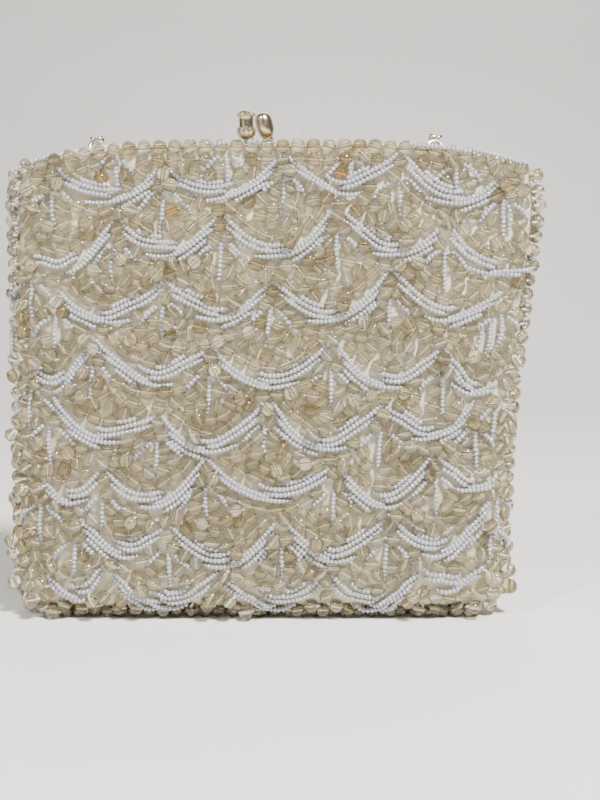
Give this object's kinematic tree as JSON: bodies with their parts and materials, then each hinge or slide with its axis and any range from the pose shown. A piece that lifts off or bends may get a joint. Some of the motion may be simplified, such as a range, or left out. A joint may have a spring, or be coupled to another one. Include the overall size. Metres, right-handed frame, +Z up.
{
  "type": "beaded shoulder bag",
  "caption": "Soft evening bag covered in clear round beads with hanging swags of small pearly beads, on a hidden metal frame with a kissing clasp and a chain handle behind it.",
  "frame": {"origin": "middle of the flat underside, where the bag stands", "axes": "+Z up from the underside to the clasp, -Y out of the beaded front, +X to the right as seen from the front"},
  "size_m": [0.1869, 0.048, 0.1752],
  "materials": {
    "cloth": "cream satin, slightly stained",
    "clear_beads": "clear round glass beads, champagne tinted",
    "pearl_beads": "small white beads with a pearly lustre",
    "metal": "pale champagne gold plating, worn"
  },
  "bodies": {
    "root": {"pouch": "cloth", "front_beading": "clear_beads", "back_beading": "clear_beads", "base_beading": "clear_beads", "front_frame": "metal", "back_frame": "metal", "left_hinge_pin": "metal", "right_hinge_pin": "metal", "left_ring": "metal", "right_ring": "metal", "front_knob": "metal", "back_knob": "metal", "chain": "metal"}
  },
  "joints": []
}
